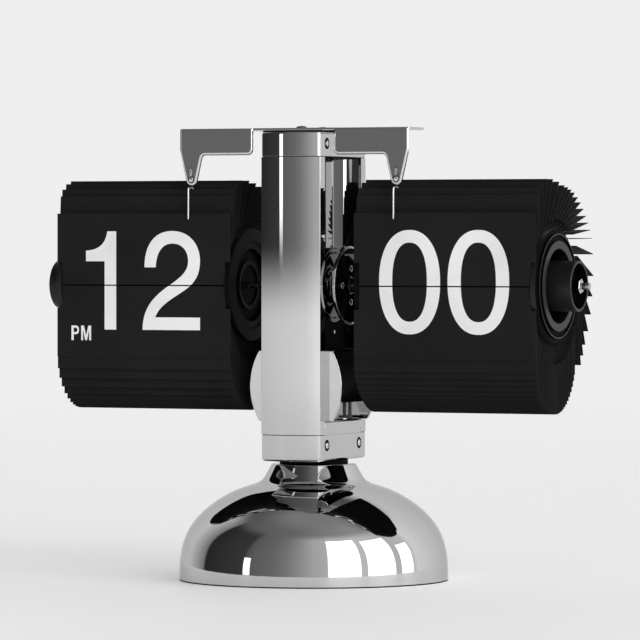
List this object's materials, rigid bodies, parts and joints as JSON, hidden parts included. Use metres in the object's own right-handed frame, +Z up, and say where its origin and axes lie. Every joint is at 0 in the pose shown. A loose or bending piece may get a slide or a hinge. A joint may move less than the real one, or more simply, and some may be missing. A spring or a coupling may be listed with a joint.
{
  "type": "flip number clock",
  "caption": "Desk clock with hour and minute drums of split number cards either side of a polished column on a domed round base.",
  "frame": {"origin": "centre of the round base, on the surface that the clock stands on", "axes": "+Z up, -Y towards the reader, +X along the drum axis from the hour drum to the minute drum"},
  "size_m": [0.2158, 0.0984, 0.1659],
  "materials": {
    "chrome": "polished",
    "steel": "bright drawn",
    "brass": "machined",
    "card_black": "fine matte sheet",
    "plastic_black": "moulded",
    "gloss_black": "glossy moulded",
    "rubber_black": "soft matte",
    "cell_jacket": "printed sleeve, left plain",
    "lead_insulation": "extruded"
  },
  "bodies": {
    "stand": {"base_dome": "chrome", "foot_ring": "rubber_black", "base_plate": "plastic_black", "base_plate_screws": "steel", "battery_cell": "cell_jacket", "battery_contact": "brass", "battery_spring": "steel", "column_stud": "steel", "stud_washer": "steel", "stud_nut": "brass", "lower_block": "chrome", "upper_block": "chrome", "front_shell": "chrome", "rear_shell": "chrome", "lower_spacer": "chrome", "block_screws": "steel", "balance_beam": "chrome", "beam_screws": "steel", "hair_wire_rivets": "steel", "case_left": "gloss_black", "case_right": "gloss_black", "bearing_hubs": "chrome", "end_plates": "gloss_black", "end_plate_screws": "steel", "gear_neck": "plastic_black", "motor_pod": "plastic_black", "pod_plates": "chrome", "pod_screws": "steel", "power_leads": "lead_insulation", "idler_pin": "steel", "minute_card_lower": "card_black", "minute_cards_waiting": "card_black", "minute_cards_returning": "card_black", "minute_cards_hanging": "card_black", "hour_card_lower": "card_black", "hour_cards_waiting": "card_black", "hour_cards_returning": "card_black", "hour_cards_hanging": "card_black"},
    "minute_drum": {"minute_shaft": "steel", "minute_disc_inner": "plastic_black", "minute_disc_outer": "plastic_black", "minute_drum_tube": "plastic_black", "minute_knob": "plastic_black", "minute_nut": "chrome"},
    "hour_drum": {"hour_shaft": "steel", "hour_disc_inner": "plastic_black", "hour_disc_outer": "plastic_black", "hour_drum_tube": "plastic_black", "hour_knob": "plastic_black", "hour_nut": "chrome"},
    "motor_pinion": {"motor_pinion": "brass"},
    "idler_gear": {"idler_gear": "brass"},
    "reduction_gear": {"reduction_gear": "brass"},
    "minute_flap": {"minute_card_top": "card_black"},
    "hour_flap": {"hour_card_top": "card_black"},
    "minute_wire": {"minute_hair_wire": "steel"},
    "hour_wire": {"hour_hair_wire": "steel"},
    "battery_lid": {"battery_door": "plastic_black"}
  },
  "joints": [
    {"name": "minute_drum_turn", "type": "hinge", "parent": "stand", "child": "minute_drum", "pos_m": [0, 0, 0.10775], "axis": [1, 0, 0], "continuous": true},
    {"name": "hour_drum_turn", "type": "hinge", "parent": "stand", "child": "hour_drum", "pos_m": [0, 0, 0.10775], "axis": [1, 0, 0], "continuous": true},
    {"name": "motor_pinion_turn", "type": "hinge", "parent": "stand", "child": "motor_pinion", "pos_m": [0, 0, 0.08125], "axis": [1, 0, 0], "continuous": true},
    {"name": "idler_gear_turn", "type": "hinge", "parent": "stand", "child": "idler_gear", "pos_m": [0, 0, 0.09075], "axis": [1, 0, 0], "continuous": true},
    {"name": "reduction_gear_turn", "type": "hinge", "parent": "stand", "child": "reduction_gear", "pos_m": [0, 0.0065, 0.10775], "axis": [1, 0, 0], "continuous": true},
    {"name": "minute_flap_fall", "type": "hinge", "parent": "stand", "child": "minute_flap", "pos_m": [0.06, -0.0199, 0.10796], "axis": [1, 0, 0], "range_deg": [0, 180]},
    {"name": "hour_flap_fall", "type": "hinge", "parent": "stand", "child": "hour_flap", "pos_m": [-0.06, -0.0199, 0.10796], "axis": [1, 0, 0], "range_deg": [0, 180]},
    {"name": "minute_wire_flex", "type": "hinge", "parent": "stand", "child": "minute_wire", "pos_m": [0.0407, -0.0177, 0.14315], "axis": [-1, 0, 0], "range_deg": [0, 20], "stiffness_Nm_per_rad": 0.0005},
    {"name": "hour_wire_flex", "type": "hinge", "parent": "stand", "child": "hour_wire", "pos_m": [-0.0407, -0.0177, 0.14315], "axis": [-1, 0, 0], "range_deg": [0, 20], "stiffness_Nm_per_rad": 0.0005},
    {"name": "battery_lid_hinge", "type": "hinge", "parent": "stand", "child": "battery_lid", "pos_m": [0, 0.0144, 0.003], "axis": [1, 0, 0], "range_deg": [0, 100]}
  ],
  "couplings": [
    {"joint": "hour_drum_turn", "follows": "minute_drum_turn", "ratio": 0.041667},
    {"joint": "reduction_gear_turn", "follows": "minute_drum_turn", "ratio": -0.2},
    {"joint": "idler_gear_turn", "follows": "minute_drum_turn", "ratio": -1.4286},
    {"joint": "motor_pinion_turn", "follows": "minute_drum_turn", "ratio": 4}
  ]
}
